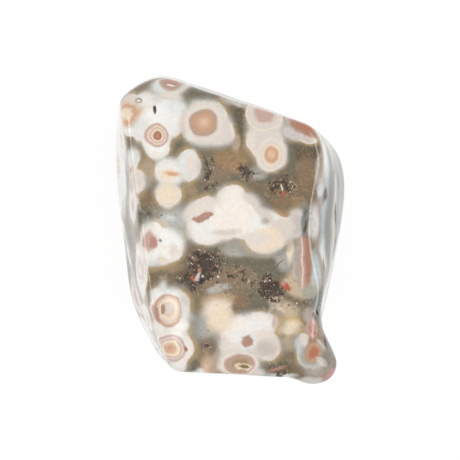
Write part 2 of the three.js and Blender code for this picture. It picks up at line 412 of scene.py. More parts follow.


# The pattern. A place is (x, y) on the front, in millimetres, or (x, y, z) off the front. Most
# entries go on with radii, a turn in degrees about Z, and a colour.

# Soft clouds of colour in the ground, and a painted highlight along the top edge: then the softness of the
# edge as a share of the radii.
DRIFTS_AND_HIGHLIGHT = [
    ((-11.6, 18.5), (2.3, 0.9, 2), 33, "bronze", 0.5),
    ((-12.8, 11.4), (0.9, 1.1, 2), 0, "taupe", 0.7),
    ((-3.2, 17.7), (2.6, 1.0, 2), -18, "moss", 0.7),
    ((-0.4, 16.5), (1.6, 0.5, 1.5), -22, "bronze", 0.7),
    ((1.4, 14.0), (1.0, 3.3, 3), 0, "umber", 0.5),
    ((2.15, 13.4), (0.35, 2.8, 2), 0, "gold", 0.9),
    ((-7.1, 10.9), (0.9, 1.7, 2), -15, "moss", 0.8),
    ((0.3, 9.3), (2.6, 1.9, 2), -8, "gold", 0.7),
    ((2.5, 10.0), (0.9, 1.2, 2), 0, "gold", 0.8),
    ((0.7, 11.3), (0.6, 1.0, 2), 0, "oat", 0.9),
    ((-1.9, 6.6), (1.9, 1.9, 2), 0, "taupe", 0.8),
    ((-10.6, 7.2), (0.9, 1.9, 2), 0, "oat", 0.8),
    ((-10.9, 4.0), (1.1, 1.4, 2), 0, "bronze", 0.8),
    ((-10.9, 1.9), (1.0, 1.2, 2), 0, "moss", 0.8),
    ((-5.4, 5.1), (1.1, 1.0, 1.5), 0, "sand", 0.7),
    ((-5.8, 3.3), (0.8, 1.1, 1.5), 0, "bronze", 0.8),
    ((-5.9, -0.2), (0.8, 1.4, 1.5), 0, "amber", 0.7),
    ((-5.4, -2.4), (0.6, 1.1, 1.5), 0, "bronze", 0.8),
    ((-7.8, -5.2), (2.5, 0.7, 1.5), 0, "sand", 0.8),
    ((-8.4, -6.4), (2.4, 1.0, 1.5), 0, "olive", 0.7),
    ((-5.3, -6.2), (1.7, 1.5, 1.5), 0, "umber", 0.8),
    ((-7.1, 1.2), (2.2, 1.7, 1.5), 0, "frost", 1.2),
    ((-1.5, -16.3), (0.9, 0.9, 1.5), 0, "oat", 0.8),
    ((10.6, -19.5), (1.7, 0.6, 1.5), 0, "haze", 0.8),
    ((-4.3, -18.3), (1.5, 0.6, 1.5), 0, "chalk", 0.8),
    ((3.7, 7.4), (1.0, 0.9, 1.5), 0, "mist", 0.9),
    ((7.8, -5.9), (1.0, 1.1, 1.5), 0, "oat", 0.8),
    ((11.4, -9.5), (0.8, 2.2, 1.5), 0, "steel", 0.8),
    ((5.0, -3.3), (1.9, 0.8, 1.5), -8, "mist", 0.9),
    ((4.9, 4.7), (3.4, 1.3, 2), -8, "olive", 0.7),
    ((6.8, 3.1), (1.8, 1.0, 1.5), 0, "bronze", 0.8),
    ((6.7, 2.2), (1.2, 0.45, 1), 0, "gold", 0.9),
    ((8.7, 3.7), (1.0, 0.7, 1), 0, "gold", 0.9),
    ((9.6, 10.2), (2.2, 1.3, 2), -10, "umber", 0.6),
    ((9.8, 7.5), (1.0, 1.9, 2), 0, "bronze", 0.8),
    ((7.7, 11.9), (0.55, 0.9, 1.5), 20, "gold", 0.6),
    ((7.9, 9.0), (0.6, 2.0, 2), 0, "moss", 0.7),
    ((1.2, -2.2), (2.5, 1.5, 2), 0, "mist", 0.8),
    ((1.4, -4.2), (2.6, 0.9, 2), 0, "moss", 0.8),
    ((1.4, -6.3), (2.6, 1.6, 2), 0, "taupe", 0.8),
    ((-1.0, -6.9), (1.9, 1.7, 2), 0, "taupe", 0.8),
    ((5.3, -4.9), (2.5, 1.4, 2), -8, "moss", 0.6),
    ((7.1, -3.7), (1.3, 1.5, 1.5), 0, "pewter", 0.7),
    ((7.3, -1.4), (1.2, 0.6, 1), -10, "amber", 0.9),
    ((7.8, -2.6), (0.5, 1.6, 1), 0, "cream", 0.9),
    ((9.3, -7.2), (2.0, 1.6, 2), 0, "oat", 0.7),
    ((10.3, -7.8), (1.0, 1.0, 2), 0, "leaf", 0.9),
    ((3.9, -9.7), (2.1, 1.1, 2), 0, "moss", 0.9),
    ((-1.2, -8.9), (2.3, 0.9, 1.5), 0, "sand", 0.9),
    ((-1.6, -10.4), (2.2, 2.1, 2), 0, "oat", 1.0),
    ((-1.5, -10.8), (1.9, 1.6, 2), 0, "cream", 1.2),
    ((-1.5, -11.1), (1.7, 1.5, 2), 0, "milk", 1.4),
    ((1.4, -9.9), (1.1, 1.3, 2), 0, "bronze", 0.8),
    ((-1.5, -7.5), (1.5, 0.45, 1.5), 12, "mist", 0.9),
    ((-3.4, -12.8), (2.4, 1.8, 2), 0, "pewter", 1.3),
    ((-1.3, -11.9), (1.5, 2.0, 2), 0, "cream", 1.0),
    ((-3.1, -15.0), (1.3, 1.0, 1.5), 0, "taupe", 0.8),
    ((-3.5, -16.6), (1.1, 1.2, 1.5), 0, "sand", 0.8),
    ((-2.3, -17.5), (1.2, 1.2, 1.5), 0, "peach", 0.8),
    ((-4.9, -17.5), (1.0, 1.0, 1.5), 0, "moss", 0.8),
    ((7.2, -10.5), (1.7, 1.2, 1.5), 0, "oat", 0.9),
    ((7.5, -12.4), (1.9, 1.4, 1.5), 0, "amber", 0.6),
    ((7.7, -12.6), (1.5, 1.0, 1.2), 0, "cream", 0.9),
    ((7.7, -16.1), (1.2, 2.3, 2), 0, "taupe", 0.6),
    ((6.3, -17.9), (1.9, 1.0, 1.5), 0, "umber", 0.6),
    ((11.8, 7.6), (0.8, 2.6, 2.5), 0, "dove", 0.6),
    ((11.7, 5.2), (0.7, 1.0, 1.5), 0, "rime", 0.7),
    ((10.8, 0.9), (0.8, 2.3, 3.0), 0, "haze", 0.9),
    ((11.1, -5.0), (0.9, 2.3, 1.5), 0, "rime", 0.8),
    ((10.2, -11.0), (1.0, 0.9, 1.5), 0, "dove", 0.8),
    ((7.7, -14.5), (1.2, 1.0, 1.5), 0, "oat", 0.9),
    # The next two entries are a painted highlight along the bevel of the top edge.
    ((1.6, 16.2), (1.7, 0.5, 1.5), -20, "haze", 0.8),
    ((-0.4, 16.9), (1.1, 0.7, 1.5), -22, "haze", 0.8),
    ((11.6, -13.7), (0.9, 1.3, 1.5), 12, "taupe", 0.7),
    ((12.7, -14.6), (0.7, 2.6, 2.0), 12, "slate", 0.7),
    ((11.4, -17.6), (2.2, 1.6, 2.0), 0, "dove", 0.8),
    ((6.2, -18.9), (2.2, 0.45, 1.5), 0, "frost", 0.8),
    ((6.0, -9.3), (1.0, 0.7, 1.5), 0, "oat", 0.9),
]

# Crystal pockets, where painted shade and glints go: then how full of crystals they are.
POCKETS = [
    ((-3.1, -4.6), (2.6, 2.5, 1.5), 0, 1.3),
    ((-5.0, -6.8), (1.7, 1.5, 1.5), 0, 1.1),
    ((-0.6, -7.2), (1.8, 1.4, 1.5), 0, 0.6),
    ((1.4, -5.6), (2.4, 1.7, 1.5), 0, 0.65),
    ((5.2, -7.7), (2.6, 1.9, 1.5), 0, 1.4),
    ((-2.9, 7.7), (1.1, 3.1, 1.5), 0, 0.85),
    ((-2.2, 5.1), (1.7, 1.0, 1.5), 0, 0.8),
    ((2.1, 7.8), (1.2, 1.7, 1.5), 40, 0.95),
    ((6.8, 5.7), (2.0, 1.6, 1.5), 0, 0.95),
    ((-11.0, 2.0), (0.9, 1.2, 1.5), 0, 0.7),
    ((-8.3, 1.7), (1.4, 0.6, 1.5), 0, 0.45),
    ((-8.0, -6.3), (2.8, 0.9, 1.5), 0, 0.45),
    ((6.3, -17.9), (1.8, 1.0, 1.5), 10, 0.9),
    ((-3.2, -13.2), (1.3, 0.9, 1.5), 0, 0.35),
    ((-3.1, -15.0), (0.9, 0.8, 1.5), 0, 0.6),
    ((8.9, -9.8), (1.9, 0.9, 1.5), 0, 0.5),
    ((9.3, 13.5), (2.4, 1.2, 1.5), -25, 0.35),
    ((-12.9, 3.6, 3.1), (1.8, 2.6, 1.8), 0, 1.0),
    ((6, 13.3, 3.4), (2.7, 1.9, 1.8), 0, 1.0),
    ((11.4, -1.8, 1.6), (2.2, 3.2, 2.2), 0, 1.0),
    ((-2.4, -12.9, 2), (2.7, 2.2, 2.0), 0, 1.0),
]

# White growths that run together behind the rings.
GROWTHS = [
    ((-7.7, 18.8), (2.6, 1.8, 2), 0, "shell"),
    ((-8.2, 17.1), (1.9, 1.0, 2), 0, "shell"),
    ((-10.8, 16.8), (1.4, 1.3, 1.5), 30, "chalk"),
    ((-13.2, 15.0), (1.8, 2.0, 2.6), 0, "oat"),
    ((-8.8, 14.6), (2.9, 2.4, 2.5), 0, "snow"),
    ((-9.4, 11.9), (1.85, 2.9, 2.5), 0, "snow"),
    ((-12.9, 16.7), (1.2, 1.1, 2), 0, "shell"),
    ((-6.8, 15.7), (1.3, 1.1, 2), 0, "frost"),
    ((-7.6, 13.4), (1.3, 1.4, 2), 0, "chalk"),
    ((-3.3, 13.8), (3.1, 3.1, 3), 0, "shell"),
    ((-1.2, 12.8), (1.7, 2.0, 2.5), 0, "shell"),
    ((-7.7, 7.6), (2.1, 1.85, 2), 0, "chalk"),
    ((-5.4, 8.3), (1.5, 2.1, 2), 0, "frost"),
    ((-8.0, 4.6), (1.65, 1.7, 1.5), 0, "cream"),
    ((-12.5, 9.3), (1.0, 1.4, 1.5), 0, "frost"),
    ((-12.7, 12.9), (1.6, 0.7, 2.5), 0, "chalk"),
    ((-11.5, 12.9), (1.0, 1.5, 2), 0, "frost"),
    ((-15.2, 8.0, 12.0), (1.9, 9.0, 7.2), 0, "frost"),
    ((-12.0, 6.4), (1.2, 1.6, 2), 0, "shell"),
    ((-3.4, 2.1), (2.8, 2.1, 2.5), 8, "blush"),
    ((-2.9, 0.2), (2.8, 2.1, 2), 0, "chalk"),
    ((-0.6, 1.2), (1.8, 2.6, 2), 0, "milk"),
    ((-10.1, -1.8), (1.75, 2.9, 2.5), 0, "chalk"),
    ((-8.0, -1.9), (2.2, 2.3, 2.5), 0, "snow"),
    ((-8.8, -4.1), (0.8, 0.6, 1), 0, "cream"),
    ((0.3, 3.1), (2.4, 2.7, 3), 0, "milk"),
    ((2.7, 3.4), (1.3, 1.2, 2), 0, "lilac"),
    ((2.2, 1.1), (2.9, 2.5, 3), 0, "milk"),
    ((4.7, 0.3), (2.6, 2.1, 2.5), -20, "chalk"),
    ((6.8, 0.1), (1.9, 1.5, 2), 0, "shell"),
    ((8.5, 0.8), (1.15, 1.9, 2.5), 0, "lilac"),
    ((4.6, -1.3), (2.7, 1.6, 2), 5, "cream"),
    ((4.6, 14.2), (2.25, 2.4, 2.5), 0, "shell"),
    ((4.6, 11.6), (2.5, 2.3, 2.5), 0, "shell"),
    ((5.2, 9.8), (2.0, 2.1, 2.5), 0, "shell"),
    ((7.9, 12.6), (1.3, 0.7, 1.5), -35, "lilac"),
    ((9.9, 11.8), (1.6, 0.6, 1.5), -12, "lilac"),
    ((9.2, 13.7), (2.1, 1.0, 2), -22, "dove"),
    ((-7.7, -10.1), (2.7, 2.75, 2.5), 0, "snow"),
    ((-9.1, -8.6), (1.1, 1.3, 2), 0, "snow"),
    ((-8.5, -7.3), (0.45, 0.7, 0.8), 0, "frost"),
    ((-9.2, -12.6), (1.0, 1.0, 2), 0, "chalk"),
    ((-6.2, -12.4), (1.0, 1.0, 2), 0, "chalk"),
    ((-7.6, -15.0), (2.85, 2.4, 2.5), -12, "chalk"),
    ((-6.8, -17.5), (1.1, 1.2, 2.5), 0, "chalk"),
    ((1.3, -13.1), (2.6, 2.2, 2.5), 0, "milk"),
    ((0.3, -14.9), (1.7, 1.6, 2.0), 0, "blush"),
    ((3.9, -12.1), (2.2, 1.6, 2.5), 0, "chalk"),
    ((4.5, -14.9), (2.1, 2.1, 2.5), 0, "blush"),
    ((1.1, -17.2), (2.6, 1.9, 2.5), 0, "shell"),
    ((3.3, -18.6), (1.1, 0.6, 2), 0, "shell"),
    ((9.5, -15.2), (1.1, 1.9, 2.6), 0, "ice"),
    ((-12.8, 3.1, 18.8), (0.8, 2.4, 4.0), 0, "frost"),
    ((-11.5, -5.2, 17.6), (1.05, 3.9, 4.2), 0, "chalk"),
    ((-14.0, 12.0, 14.5), (1.2, 3.4, 3.4), 0, "shell"),
    ((-13.5, 8.5, 8.5), (2.0, 2.8, 2.6), 0, "chalk"),
    ((-11.2, -12.0, 16.0), (1.2, 2.6, 4.0), 0, "frost"),
    ((-12.6, -9.0, 9.5), (1.6, 2.8, 3.0), 0, "shell"),
    ((12.6, 9.2, 15.5), (1.2, 2.6, 3.6), 0, "frost"),
    ((13.2, 4.0, 12.0), (1.4, 2.4, 3.2), 0, "shell"),
    ((12.2, -3.0, 15.0), (1.4, 2.2, 3.6), 0, "frost"),
    ((11.6, -9.0, 12.0), (1.8, 2.4, 3.2), 0, "chalk"),
    ((0.5, 16.6, 15.5), (3.0, 1.6, 2.4), 0, "frost"),
]

# Veils of colour within the growths: then the softness of the edge as a share of the radii.
FLUSHES = [
    ((-9.2, 18.4), (0.9, 0.9, 1.5), 0, "frost", 0.8),
    ((-7.0, 17.6), (1.8, 0.6, 1.5), -10, "blush", 0.8),
    ((-13.0, 15.0), (0.6, 0.9, 1.5), 0, "blush", 0.9),
    ((-3.9, 5.6), (0.9, 0.5, 1), 0, "cream", 0.8),
    ((-7.9, 7.3), (1.2, 0.8, 1), 0, "cream", 0.9),
    ((-4.9, 8.3), (0.8, 1.0, 1), 0, "blush", 0.9),
    ((-4.0, 8.2), (0.35, 1.5, 1), 0, "rime", 1.2),
    ((-4.4, 12.3), (2.0, 0.7, 1), 15, "chalk", 0.8),
    ((0.9, 2.9), (1.5, 1.6, 2), 0, "milk", 0.9),
    ((3.6, 4.1), (1.0, 0.9, 1.5), 0, "lilac", 0.8),
    ((7.2, 0.3), (1.1, 1.4, 2), 0, "shell", 0.9),
    ((3.3, -1.2), (1.9, 0.9, 1.5), 0, "blush", 0.8),
    ((-0.4, -0.3), (1.7, 0.45, 1.5), 4, "shell", 1.2),
    ((3.7, 2.9), (3.2, 0.6, 1.5), -50, "shell", 0.6),
    ((-5.6, -9.6), (0.9, 2.2, 1.5), 0, "haze", 0.9),
    ((4.7, 15.3), (1.7, 1.0, 1.5), -12, "mauve", 0.8),
    ((5.1, 8.5), (1.6, 0.5, 1), 0, "rime", 0.7),
    ((2.9, 13.2), (0.5, 2.6, 1.5), 0, "blush", 0.9),
    ((0.6, -13.6), (0.9, 0.9, 1), 0, "chalk", 1.0),
    ((5.9, -12.0), (0.5, 1.2, 1), 0, "mauve", 0.8),
    ((4.8, -15.3), (1.5, 1.2, 1), 0, "lilac", 1.2),
    ((8.9, -15.6), (0.5, 2.2, 1.5), 0, "rime", 0.8),
    ((-10.2, -4.6), (0.9, 0.6, 1), 0, "frost", 0.9),
]

# Ringed hearts of the orbs: place, stretch, turn, how worn the edges are, and shells from the outside
# in, each with its radius, colour and softness of its edge.
NEAT, GRAINED, FRAYED = range(3)
HEARTS = [
    ((-7.5, 19.1), (1, 0.9, 1), 0, GRAINED, [
        (1.75, "lilac", 0.3), (1.5, "fawn", 0.4), (0.9, "dusk", 0.5)]),
    ((-13.5, 15.0), (1.15, 1.15, 2.5), 0, FRAYED, [
        (1.5, "peach", 0.5), (1.2, "tan", 0.4), (0.75, "cream", 0.6)]),
    ((-9.4, 12.25), (1, 0.95, 1), 0, NEAT, [
        (1.6, "mauve", 0.15), (1.35, "peach", 0.3), (1.2, "blush", 0.2), (1.0, "dusk", 0.1),
        (0.9, "cream", 0.1), (0.62, "rust", 0.12), (0.3, "dusk", 0.3)]),
    ((-3.4, 13.8), (0.95, 1, 1), 0, GRAINED, [
        (2.5, "blush", 0.5), (2.1, "shell", 0.3), (1.85, "fawn", 0.15), (1.3, "tan", 0.7),
        (0.6, "peach", 1.0)]),
    ((4.5, 15.3), (1, 1, 1), 0, GRAINED, [
        (2.45, "cream", 0.06), (2.32, "shell", 0.06), (1.5, "mauve", 0.6)]),
    ((-7.4, 7.4), (1.5, 0.45, 1), -12, GRAINED, [(0.75, "peach", 0.5), (0.45, "apricot", 0.3)]),
    ((-12.8, 5.8), (0.5, 1.2, 1), 0, GRAINED, [(1.2, "mauve", 0.3), (0.9, "dusk", 0.5)]),
    ((-12.5, 8.1), (0.9, 1, 1), 0, GRAINED, [(0.4, "peach", 0.4)]),
    ((-10.4, -1.4), (0.8, 1.1, 1), 0, FRAYED, [(1.5, "blush", 0.5), (1.15, "mauve", 0.5)]),
    ((-9.9, -1.6), (0.5, 1.0, 1), 0, FRAYED, [(0.95, "dusk", 0.4), (0.6, "rose", 0.5)]),
    ((-7.4, -2.6), (1, 1, 1), 0, FRAYED, [(0.8, "blush", 0.7)]),
    ((-4.25, 1.45), (0.85, 0.62, 1), 10, FRAYED, [(0.9, "dusk", 0.3)]),
    ((-3.2, 1.95), (0.85, 0.6, 1), 10, FRAYED, [(1.0, "dusk", 0.3), (0.5, "rose", 0.6)]),
    ((5.4, 9.65), (1, 1.05, 1), 0, NEAT, [
        (2.0, "blush", 0.5), (1.6, "shell", 0.3), (1.25, "cream", 0.2), (1.0, "peach", 0.3),
        (0.85, "tan", 0.3), (0.5, "peach", 0.5)]),
    ((10.0, 13.35), (2.3, 0.95, 1.5), -25, FRAYED, [
        (1.2, "dusk", 0.4), (0.9, "clay", 0.6), (0.4, "rust", 0.6)]),
    ((-7.9, -10.3), (0.98, 1.1, 1), 0, GRAINED, [
        (2.0, "dusk", 0.25), (1.78, "peach", 0.3), (1.5, "shell", 0.3), (1.3, "cream", 0.2),
        (0.98, "peach", 0.15), (0.8, "shell", 0.3)]),
    ((-8.65, -10.3), (0.38, 1.05, 1), 0, NEAT, [(0.8, "dusk", 0.15)]),
    ((-9.5, -10.9), (0.4, 1.6, 1), 18, GRAINED, [(0.8, "dusk", 0.5)]),
    ((-7.7, -15.3), (1, 0.95, 1), 0, GRAINED, [
        (1.95, "mauve", 0.25), (1.65, "blush", 0.25), (1.42, "mauve", 0.15), (1.24, "cream", 0.12),
        (0.85, "peach", 0.15), (0.4, "tan", 0.8)]),
    ((-1.3, -11.4), (0.85, 1.1, 1), 0, GRAINED, [(1.6, "cream", 1.4)]),
    ((2.15, -14.4), (0.95, 0.95, 1), 0, FRAYED, [(1.2, "frost", 0.5), (0.82, "dusk", 0.3)]),
    ((1.2, -17.3), (1.15, 0.85, 1), 0, GRAINED, [
        (2.0, "blush", 0.3), (1.65, "mauve", 0.15), (1.5, "fawn", 0.2), (0.9, "sand", 0.4)]),
    ((1.6, -17.7), (1.35, 0.6, 1), -12, FRAYED, [(0.8, "cream", 0.12), (0.55, "bronze", 0.2)]),
    ((10.7, -15.9), (1, 1.05, 1.4), 0, FRAYED, [(2.0, "haze", 0.4), (1.7, "pewter", 0.6)]),
    ((10.7, -14.2), (0.7, 1.2, 1), 0, FRAYED, [(0.9, "clay", 0.6)]),
    ((10.85, -15.7), (1.0, 1.0, 1), 0, FRAYED, [
        (1.3, "sand", 0.4), (1.15, "tan", 0.4), (0.85, "rust", 0.6)]),
    ((10.5, -12.5), (0.9, 1.1, 1), 0, FRAYED, [(1.1, "mauve", 0.6), (0.7, "dusk", 0.7)]),
    ((9.45, -14.2), (0.5, 0.85, 1), 0, GRAINED, [(1.0, "shell", 0.3)]),
    ((-12.8, 3.0, 18.6), (0.4, 1.0, 1.8), 0, GRAINED, [(1.6, "blush", 0.4), (1.1, "mauve", 0.5)]),
    ((-11.5, -5.2, 17.4), (0.5, 1.0, 1.5), 0, NEAT, [
        (1.9, "shell", 0.2), (1.1, "mauve", 0.2), (0.8, "blush", 0.2)]),
    ((-14.0, 12.0, 14.5), (1, 1, 1.1), 0, GRAINED, [
        (2.2, "blush", 0.2), (1.5, "mauve", 0.15), (1.2, "cream", 0.2), (0.7, "tan", 0.2)]),
    ((-14.0, 8.5, 8.5), (1, 1, 1), 0, GRAINED, [
        (1.7, "mauve", 0.15), (1.5, "blush", 0.3), (1.0, "dusk", 0.15), (0.8, "cream", 0.15),
        (0.5, "rust", 0.15)]),
    ((-11.2, -12.0, 16.0), (1, 1, 1.2), 0, GRAINED, [(1.6, "blush", 0.3), (1.0, "mauve", 0.2)]),
    ((-12.8, -9.0, 9.5), (1, 1, 1), 0, FRAYED, [(1.5, "rose", 0.2), (0.8, "dusk", 0.3)]),
    ((11.6, -9.0, 12.0), (1, 1, 1), 0, GRAINED, [
        (1.5, "mauve", 0.15), (1.3, "cream", 0.3), (0.8, "rust", 0.3)]),
]

# Bands of agate: place, radii, the direction across them, and colours along it from -1 to 1.
BANDS = [
    ((9.5, -4.0), (1.35, 3.4, 2.5), (0.8, 0.02, 0), [
        (0.0, "lilac"), (0.12, "dove"), (0.3, "dove"), (0.38, "mauve"), (0.43, "cream"), (0.48, "mauve"),
        (0.58, "dusk"), (0.7, "clay"), (0.85, "clay"), (1.0, "dove")]),
    ((17.5, 2.0, 12.0), (7.5, 16.0, 9.0), (0.03, 0.012, 0.15), [
        (0.0, "steel"), (0.2, "slate"), (0.36, "pewter"), (0.46, "steel"), (0.54, "haze"), (0.62, "slate"),
        (0.7, "steel"), (0.8, "rime"), (0.9, "haze"), (1.0, "pewter")]),
    ((3.0, 15.8, 6.5), (4.2, 3.0, 2.2), (0.12, 0, 0.55), [
        (0.0, "frost"), (0.15, "lilac"), (0.3, "mauve"), (0.36, "cream"), (0.45, "dusk"), (0.55, "blush"),
        (0.65, "mauve"), (0.72, "rust"), (0.82, "cream"), (1.0, "ice")]),
    ((-6.0, -3.0, 0.0), (3.2, 4.4, 2.0), (0.35, 0.2, 0), [
        (0.0, "lilac"), (0.14, "dusk"), (0.22, "cream"), (0.4, "mauve"), (0.5, "chalk"), (0.62, "blush"),
        (0.7, "dusk"), (0.78, "cream"), (1.0, "frost")]),
]

# Small marks: place, stretch, turn, radius, colour, softness.
MARKS = [
    ((-9.8, 15.65), (0.5, 1.1, 1), 5, 0.55, "umber", 0.2),
    ((-9.7, 15.75), (0.4, 1.1, 1), 5, 0.3, "pitch", 0.2),
    ((-11.8, 16.75), (1, 1, 1), 0, 0.42, "slate", 0.2),
    ((-11.85, 16.7), (1.2, 0.8, 1), 0, 0.2, "snow", 0.1),
    ((-7.5, 18.75), (2.2, 0.5, 1), -5, 0.26, "snow", 0.1),
    ((-5.4, 6.6), (1.6, 0.5, 1), -35, 0.3, "cream", 0.2),
    ((-9.0, -1.4), (1, 1.1, 1), 0, 0.22, "slate", 0.15),
    ((-5.8, -15.4), (0.7, 1.2, 1), 0, 0.32, "rust", 0.12),
    ((-12.5, -6.2), (0.5, 1.8, 3), 0, 0.9, "steel", 0.8),
    ((4.6, 1.3), (1, 1, 1), 0, 0.72, "shell", 0.25),
    ((4.55, 1.25), (1, 0.9, 1), 0, 0.42, "mist", 0.3),
    ((-4.7, -6.3), (0.5, 1.0, 1), 15, 0.42, "ember", 0.2),
    ((-3.8, -5.1), (0.6, 1.1, 1), -30, 0.36, "rust", 0.2),
    ((-4.05, -6.0), (0.42, 1.5, 1), -30, 0.5, "lilac", 0.15),
    ((-3.6, -6.5), (0.7, 1.6, 1), -38, 0.42, "pitch", 0.2),
    ((7.3, -7.1), (0.75, 1.5, 1), 50, 0.55, "ember", 0.2),
    ((7.0, -6.8), (0.9, 1.0, 1), 50, 0.4, "rose", 0.2),
    ((7.7, -7.5), (0.5, 1.5, 1), 52, 0.2, "brick", 0.1),
    ((6.85, 4.75), (0.7, 1.3, 1), 15, 0.3, "ember", 0.12),
    ((6.6, 5.5), (0.5, 1.5, 1), 15, 0.25, "cream", 0.12),
    ((9.7, 1.3), (0.6, 2.1, 1.5), -4, 0.95, "steel", 0.6),
    ((9.7, 2.3), (0.35, 0.9, 1), -12, 0.6, "moss", 0.5),
    ((9.75, 0.5), (0.3, 1.1, 1), -6, 0.8, "umber", 0.6),
    ((12.35, 4.6), (0.4, 1.1, 1), 0, 0.8, "umber", 0.5),
    ((9.4, 3.3), (0.5, 0.6, 1), -30, 0.6, "slate", 0.3),
    ((10.9, -11.0), (0.5, 1.1, 1), 20, 0.5, "umber", 0.2),
    ((11.3, -10.6), (0.3, 1.2, 1), 24, 0.5, "night", 0.3),
    ((12.3, -14.3), (0.5, 1.5, 1), 8, 0.5, "night", 0.5),
    ((10.9, -13.2), (1, 1, 1), 0, 0.18, "ember", 0.15),
    ((12.9, -18.7), (1.6, 0.5, 1), 38, 0.8, "rose", 0.5),
    ((6.0, -17.9), (2.2, 0.35, 1), 18, 0.6, "clay", 0.7),
    ((12.2, -13.0), (0.7, 2.2, 3), 12, 0.9, "umber", 0.7),
    ((12.5, -16.7), (0.8, 1.6, 1.5), 0, 0.9, "slate", 0.7),
    ((13.4, 6.8), (0.4, 2.0, 3), 0, 0.9, "steel", 0.8),
    ((14.2, 0.8), (0.35, 1.6, 3), 0, 0.9, "steel", 0.8),
    ((6.3, -4.4), (0.12, 1.6, 1), -52, 0.5, "umber", 0.1),
    ((12.6, 4.0, 17.3), (1, 1.4, 0.7), 0, 0.7, "pitch", 0.4),
    ((12.3, -4.5, 17.8), (1, 1.6, 0.7), 0, 0.6, "pitch", 0.4),
    ((13.9, 2.0, 13.0), (1, 2.2, 0.5), 0, 0.7, "night", 0.4),
    ((14.4, 6.0, 11.0), (1, 2.6, 0.4), 0, 0.6, "night", 0.4),
    ((13.7, -2.4, 12.5), (1, 2.6, 0.5), 0, 0.7, "night", 0.4),
    ((-12.8, -5.3, 10.2), (1, 1.2, 2.4), 0, 0.8, "umber", 0.4),
]

DROP_FROM = THICKNESS + 1.0  # a height above the whole front
DROPS = 80  # how often a place is lowered


def front_places():
    """The places that are given on the front, each with the point of the skin below it."""
    tables = (DRIFTS_AND_HIGHLIGHT, POCKETS, GROWTHS, FLUSHES, HEARTS, BANDS, MARKS)
    places = [entry[0] for entries in tables for entry in entries if len(entry[0]) == 2]
    points = np.array([(x, y, DROP_FROM) for x, y in places])
    for _ in range(DROPS):
        gap = np.maximum(skin_distance(points), 0)
        points[:, 2] = np.maximum(points[:, 2] - gap, 0)
    return dict(zip(places, points))


ON_FRONT = front_places()


def from_centre(g, point, place, radii, turn=0):
    """Distance from a place inside the stone, in shares of the radii along axes turned about Z."""
    c, s = cos(radians(turn)), sin(radians(turn))
    axes = np.array(((c, s, 0), (-s, c, 0), (0, 0, 1))) / np.array(radii)[:, None]
    middle = np.array(ON_FRONT.get(place, place))
    if turn:
        offset = g.vector("SUBTRACT", point, tuple(middle))
        parts = {k: g.dot(offset, tuple(axis)) for k, axis in enumerate(axes)}
        return g.length(g.node("ShaderNodeCombineXYZ", parts).outputs[0])
    return g.length(g.scaled_and_moved(point, tuple(np.diag(axes)), tuple(-axes @ middle)))


def paint_soft(clouds):
    def paint(g, colour, point):
        for place, radii, turn, name, softness in clouds:
            distance = from_centre(g, point, place, radii, turn)
            colour = g.mix(colour, pigment(name), g.step(distance, 1 + softness / 2, 1 - softness / 2))
        return [colour]
    return paint


# Washes of colour, each by a noise: where it sets in, where it is full, how strong, and the colour.
GROUND_WASHES = [
    ("drift", 0.42, 0.58, 1.0, "moss"),
    ("cloud", 0.54, 0.7, 0.5, "sand"),
    ("cloud", 0.48, 0.3, 0.85, "umber"),
]
GROWTH_WASHES = [
    ("cloud", 0.5, 0.72, 0.45, "cream"),
    ("cloud", 0.46, 0.26, 0.5, "frost"),
]


def washed(g, colour, noises, washes):
    for noise, start, full, strength, name in washes:
        colour = g.mix(colour, pigment(name), g.step(noises[noise], start, full, 0, strength))
    return colour


GRIT = 0.34
POCKET_GRIT = 0.6  # how much more there is in a full pocket
LIGHT_FLECKS = (0.54, 0.68)
DARK_FLECKS = (0.46, 0.32)


def paint_grit(g, colour, cover, hollow, chips):
    """Fine flecks in the ground, strong round the crystal pockets and faint elsewhere."""
    strength = g.math("MULTIPLY_ADD", cover, POCKET_GRIT, GRIT)
    light = g.math("MULTIPLY", strength, g.step(chips, *LIGHT_FLECKS))
    dark = g.math("MULTIPLY", strength, g.step(hollow, *DARK_FLECKS))
    return g.mix(g.mix(colour, pigment("umber"), dark), pigment("oat"), light)


POCKET_EDGE = (1.3, 0.35)


def pocket_cover(g, point):
    """How full of crystals the ground is, from 0 to 1."""
    cover = 0.0
    for place, radii, turn, fullness in POCKETS:
        distance = from_centre(g, point, place, radii, turn)
        cover = g.math("MAXIMUM", cover, g.step(distance, *POCKET_EDGE, 0, fullness))
    return [cover]


# Crystal grains: their size, then for each colour which random number it goes by and from where on. The
# palest grains are painted glints on crystal faces.
GRAINS = [
    (0.5, ((0, 0.7, "bronze"), (2, 0.9, "rust"), (0, 0.92, "painted_glint"))),
    (0.27, ((0, 0.6, "sand"), (2, 0.8, "oat"), (0, 0.9, "painted_glint"))),
]
LARGEST_GRAIN = 0.34
GRAIN_EDGE = (0.12, -0.04)
GRAINS_FROM = (0.08, 0.55)  # how full a pocket is where grains set in, and where all are there
HOLLOWS = 2.6  # how strongly the hollows between crystals vary
# Painted shade in the hollows between crystals: where it sets in and is full, then darker and browner spots
# in it.
GAP_DEPTH = (0.55, 1.0)
DARK_CHIPS = (0.48, 0.38)
BROWN_CHIPS = (0.54, 0.64, 0, 0.6)


